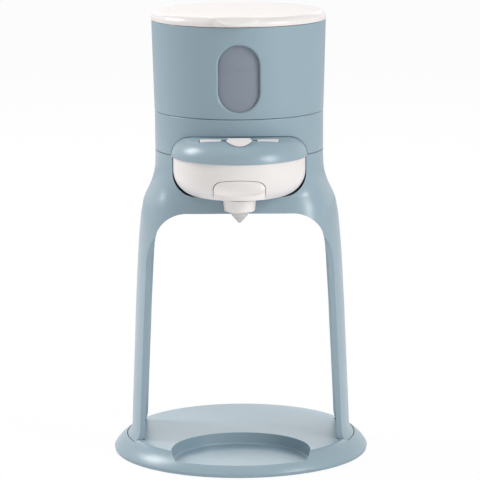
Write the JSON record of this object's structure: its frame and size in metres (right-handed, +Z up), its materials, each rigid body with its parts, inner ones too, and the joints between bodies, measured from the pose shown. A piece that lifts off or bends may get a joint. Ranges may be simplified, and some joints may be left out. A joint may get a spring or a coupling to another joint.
{
  "type": "baby formula maker",
  "caption": "Hand-worked formula powder dispenser: hopper with sight window and lift-off lid on an arched stand, dosing bowl with pull drawer and spout, round base with bottle dish",
  "frame": {"origin": "centre of the round base on the table, at the underside of the rubber feet", "axes": "+X is the right-hand side seen from the front, -Y is the front with the spout, +Z is up"},
  "size_m": [0.165, 0.165, 0.2883],
  "materials": {
    "body_blue": "moulded plastic with a soft satin gloss",
    "cover_grey": "moulded, fine matt texture",
    "white_plastic": "moulded plastic with a soft satin gloss",
    "smoked_window": "smoked clear plastic, polished",
    "tank_plastic": "frosted translucent plastic",
    "dark_acetal": "turned acetal",
    "silicone": "moulded soft silicone",
    "tip_silicone": "moulded grey silicone",
    "foot_rubber": "moulded soft rubber",
    "screw_steel": "plated steel"
  },
  "bodies": {
    "stand": {"base": "body_blue", "base_cover": "cover_grey", "rubber_feet": "foot_rubber", "screws": "screw_steel", "stand_frame": "body_blue", "head_housing": "body_blue", "inlet_seal": "silicone"},
    "hopper": {"hopper_sleeve": "body_blue", "window_pane": "smoked_window", "powder_tank": "tank_plastic", "tank_bush": "dark_acetal"},
    "stirrer": {"agitator": "white_plastic"},
    "drive": {"drive_shaft": "screw_steel", "drive_roller": "foot_rubber", "shaft_clip": "dark_acetal"},
    "lid": {"lid": "white_plastic", "lid_seal": "silicone"},
    "dosing_unit": {"dosing_bowl": "white_plastic", "bowl_cap": "body_blue", "slot_strips": "white_plastic", "wiper_plate": "silicone", "spout_collar": "white_plastic", "spout_tip": "tip_silicone"},
    "selector": {"size_selector": "white_plastic"},
    "drawer": {"measuring_drawer": "white_plastic"}
  },
  "joints": [
    {"name": "hopper_lift", "type": "slide", "parent": "stand", "child": "hopper", "axis": [0, 0, 1], "range_m": [0, 0.09]},
    {"name": "lid_lift", "type": "slide", "parent": "hopper", "child": "lid", "axis": [0, 0, 1], "range_m": [0, 0.06]},
    {"name": "unit_slide", "type": "slide", "parent": "stand", "child": "dosing_unit", "axis": [0, -1, 0], "range_m": [0, 0.1]},
    {"name": "drawer_slide", "type": "slide", "parent": "dosing_unit", "child": "drawer", "axis": [0, -1, 0], "range_m": [0, 0.024]},
    {"name": "selector_slide", "type": "slide", "parent": "dosing_unit", "child": "selector", "axis": [1, 0, 0], "range_m": [-0.004, 0.004]},
    {"name": "drive_turn", "type": "hinge", "parent": "stand", "child": "drive", "pos_m": [0, 0, 0.2], "axis": [0, 0, 1], "range_deg": [-101.5, 0]},
    {"name": "stirrer_turn", "type": "hinge", "parent": "hopper", "child": "stirrer", "pos_m": [0, 0, 0.23], "axis": [0, 0, 1], "range_deg": [-101.5, 0]}
  ],
  "couplings": [
    {"joint": "drive_turn", "follows": "drawer_slide", "rad_per_m": -73.529},
    {"joint": "stirrer_turn", "follows": "drawer_slide", "rad_per_m": -73.529}
  ]
}
